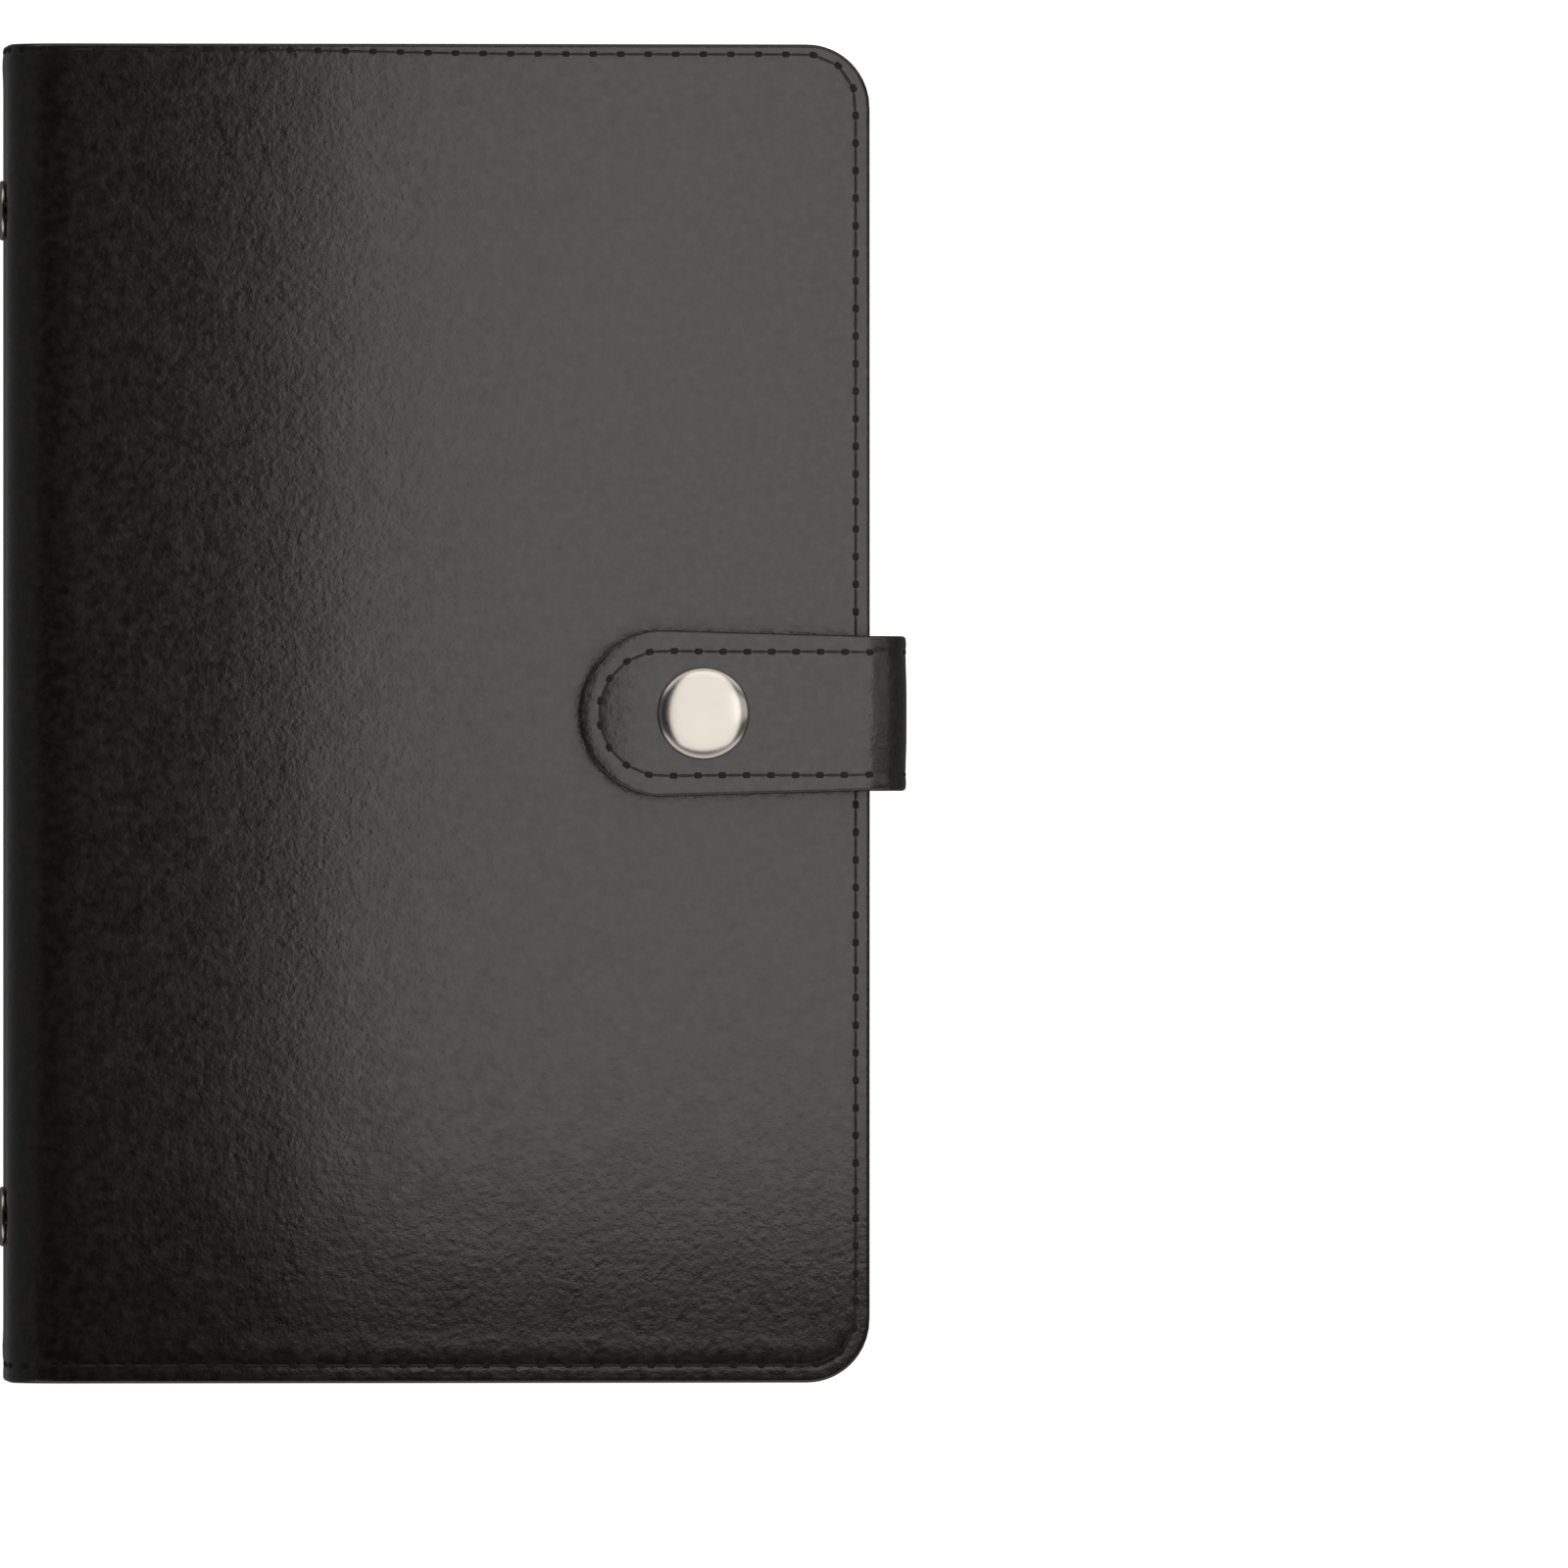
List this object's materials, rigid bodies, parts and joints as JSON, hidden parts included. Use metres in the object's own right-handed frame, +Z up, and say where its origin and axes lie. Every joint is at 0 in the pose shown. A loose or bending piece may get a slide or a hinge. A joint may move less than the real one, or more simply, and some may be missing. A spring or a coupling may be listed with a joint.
{
  "type": "cash envelope wallet",
  "caption": "Six-ring wallet in black leather with a snap strap, a riveted ring mechanism and clear envelopes.",
  "frame": {"origin": "middle of the back cover's outer face, on which the wallet lies", "axes": "+X from the spine to the fore-edge, +Y towards the top of the cover, +Z up through the front cover"},
  "size_m": [0.1291, 0.19, 0.0362],
  "materials": {
    "front_cover_leather": "fine grained, soft sheen",
    "back_cover_leather": "fine grained, soft sheen",
    "spine_leather": "fine grained, soft sheen",
    "strap": "fine grained, soft sheen",
    "front_cover_lining": "smooth matt",
    "back_cover_lining": "smooth matt",
    "spine_lining": "smooth matt",
    "card_pocket_upper": "smooth matt",
    "card_pocket_lower": "smooth matt",
    "front_cover_board": "grey board",
    "back_cover_board": "grey board",
    "spine_board": "grey board",
    "snap_stud": "polished nickel",
    "snap_stud_backing": "polished nickel",
    "snap_cap": "polished nickel",
    "snap_socket": "polished nickel",
    "ring_plate": "polished nickel",
    "plate_rivet_1": "polished nickel",
    "plate_rivet_2": "polished nickel",
    "ring_blade_front": "polished nickel",
    "ring_blade_back": "polished nickel",
    "opening_lever_top": "polished nickel",
    "opening_lever_bottom": "polished nickel",
    "half_ring_front_1": "polished nickel",
    "half_ring_front_2": "polished nickel",
    "half_ring_front_3": "polished nickel",
    "half_ring_front_4": "polished nickel",
    "half_ring_front_5": "polished nickel",
    "half_ring_front_6": "polished nickel",
    "half_ring_back_1": "polished nickel",
    "half_ring_back_2": "polished nickel",
    "half_ring_back_3": "polished nickel",
    "half_ring_back_4": "polished nickel",
    "half_ring_back_5": "polished nickel",
    "half_ring_back_6": "polished nickel",
    "envelope_1": "clear soft film",
    "envelope_2": "clear soft film",
    "envelope_3": "clear soft film",
    "envelope_4": "clear soft film",
    "envelope_5": "clear soft film",
    "envelope_6": "clear soft film",
    "envelope_7": "clear soft film",
    "envelope_8": "clear soft film"
  },
  "bodies": {
    "back_cover": {"back_cover_leather": "back_cover_leather", "back_cover_board": "back_cover_board", "back_cover_lining": "back_cover_lining"},
    "strap_flap": {"strap": "strap", "snap_cap": "snap_cap", "snap_socket": "snap_socket"},
    "spine": {"spine_leather": "spine_leather", "spine_lining": "spine_lining", "spine_board": "spine_board", "ring_plate": "ring_plate", "plate_rivet_1": "plate_rivet_1", "plate_rivet_2": "plate_rivet_2"},
    "front_cover": {"front_cover_leather": "front_cover_leather", "front_cover_board": "front_cover_board", "front_cover_lining": "front_cover_lining", "card_pocket_upper": "card_pocket_upper", "card_pocket_lower": "card_pocket_lower", "snap_stud": "snap_stud", "snap_stud_backing": "snap_stud_backing"},
    "rings_front": {"ring_blade_front": "ring_blade_front", "half_ring_front_1": "half_ring_front_1", "half_ring_front_2": "half_ring_front_2", "half_ring_front_3": "half_ring_front_3", "half_ring_front_4": "half_ring_front_4", "half_ring_front_5": "half_ring_front_5", "half_ring_front_6": "half_ring_front_6"},
    "rings_back": {"ring_blade_back": "ring_blade_back", "half_ring_back_1": "half_ring_back_1", "half_ring_back_2": "half_ring_back_2", "half_ring_back_3": "half_ring_back_3", "half_ring_back_4": "half_ring_back_4", "half_ring_back_5": "half_ring_back_5", "half_ring_back_6": "half_ring_back_6"},
    "lever_top": {"opening_lever_top": "opening_lever_top"},
    "lever_bottom": {"opening_lever_bottom": "opening_lever_bottom"},
    "envelope_1_body": {"envelope_1": "envelope_1"},
    "envelope_2_body": {"envelope_2": "envelope_2"},
    "envelope_3_body": {"envelope_3": "envelope_3"},
    "envelope_4_body": {"envelope_4": "envelope_4"},
    "envelope_5_body": {"envelope_5": "envelope_5"},
    "envelope_6_body": {"envelope_6": "envelope_6"},
    "envelope_7_body": {"envelope_7": "envelope_7"},
    "envelope_8_body": {"envelope_8": "envelope_8"}
  },
  "joints": [
    {"name": "strap_open", "type": "hinge", "parent": "back_cover", "child": "strap_flap", "pos_m": [0.065, 0, 0.0016], "axis": [0, 1, 0], "range_deg": [0, 90], "deforming": ["strap"]},
    {"name": "back_fold", "type": "hinge", "parent": "back_cover", "child": "spine", "pos_m": [-0.05939, 0, 0.00176], "axis": [0, -1, 0], "range_deg": [0, 90]},
    {"name": "front_fold", "type": "hinge", "parent": "spine", "child": "front_cover", "pos_m": [-0.05939, 0, 0.02824], "axis": [0, -1, 0], "range_deg": [0, 90]},
    {"name": "rings_open", "type": "hinge", "parent": "spine", "child": "rings_front", "pos_m": [-0.0577, 0, 0.022], "axis": [0, -1, 0], "range_deg": [0, 9]},
    {"name": "rings_open_back", "type": "hinge", "parent": "spine", "child": "rings_back", "pos_m": [-0.0577, 0, 0.008], "axis": [0, 1, 0], "range_deg": [0, 9]},
    {"name": "lever_top_press", "type": "hinge", "parent": "spine", "child": "lever_top", "pos_m": [-0.057, 0.0866, 0.015], "axis": [0, 0, 1], "range_deg": [0, 18]},
    {"name": "lever_bottom_press", "type": "hinge", "parent": "spine", "child": "lever_bottom", "pos_m": [-0.057, -0.0866, 0.015], "axis": [0, 0, -1], "range_deg": [0, 18]},
    {"name": "envelope_1_turn", "type": "hinge", "parent": "spine", "child": "envelope_1_body", "pos_m": [-0.0477, 0, 0.015], "axis": [0, 1, 0], "range_deg": [0, 90]},
    {"name": "envelope_2_turn", "type": "hinge", "parent": "spine", "child": "envelope_2_body", "pos_m": [-0.0477, 0, 0.015], "axis": [0, 1, 0], "range_deg": [0, 89.55]},
    {"name": "envelope_3_turn", "type": "hinge", "parent": "spine", "child": "envelope_3_body", "pos_m": [-0.0477, 0, 0.015], "axis": [0, 1, 0], "range_deg": [0, 89.1]},
    {"name": "envelope_4_turn", "type": "hinge", "parent": "spine", "child": "envelope_4_body", "pos_m": [-0.0477, 0, 0.015], "axis": [0, 1, 0], "range_deg": [0, 88.65]},
    {"name": "envelope_5_turn", "type": "hinge", "parent": "spine", "child": "envelope_5_body", "pos_m": [-0.0477, 0, 0.015], "axis": [0, 1, 0], "range_deg": [0, 88.2]},
    {"name": "envelope_6_turn", "type": "hinge", "parent": "spine", "child": "envelope_6_body", "pos_m": [-0.0477, 0, 0.015], "axis": [0, 1, 0], "range_deg": [0, 87.75]},
    {"name": "envelope_7_turn", "type": "hinge", "parent": "spine", "child": "envelope_7_body", "pos_m": [-0.0477, 0, 0.015], "axis": [0, 1, 0], "range_deg": [0, 87.3]},
    {"name": "envelope_8_turn", "type": "hinge", "parent": "spine", "child": "envelope_8_body", "pos_m": [-0.0477, 0, 0.015], "axis": [0, 1, 0], "range_deg": [0, 86.85]}
  ],
  "couplings": [
    {"joint": "rings_open_back", "follows": "rings_open", "ratio": 1},
    {"joint": "lever_top_press", "follows": "rings_open", "ratio": 2},
    {"joint": "lever_bottom_press", "follows": "rings_open", "ratio": 2},
    {"joint": "envelope_1_turn", "follows": "back_fold", "ratio": 1},
    {"joint": "envelope_2_turn", "follows": "back_fold", "ratio": 0.995},
    {"joint": "envelope_3_turn", "follows": "back_fold", "ratio": 0.99},
    {"joint": "envelope_4_turn", "follows": "back_fold", "ratio": 0.985},
    {"joint": "envelope_5_turn", "follows": "back_fold", "ratio": 0.98},
    {"joint": "envelope_6_turn", "follows": "back_fold", "ratio": 0.975},
    {"joint": "envelope_7_turn", "follows": "back_fold", "ratio": 0.97},
    {"joint": "envelope_8_turn", "follows": "back_fold", "ratio": 0.965}
  ]
}
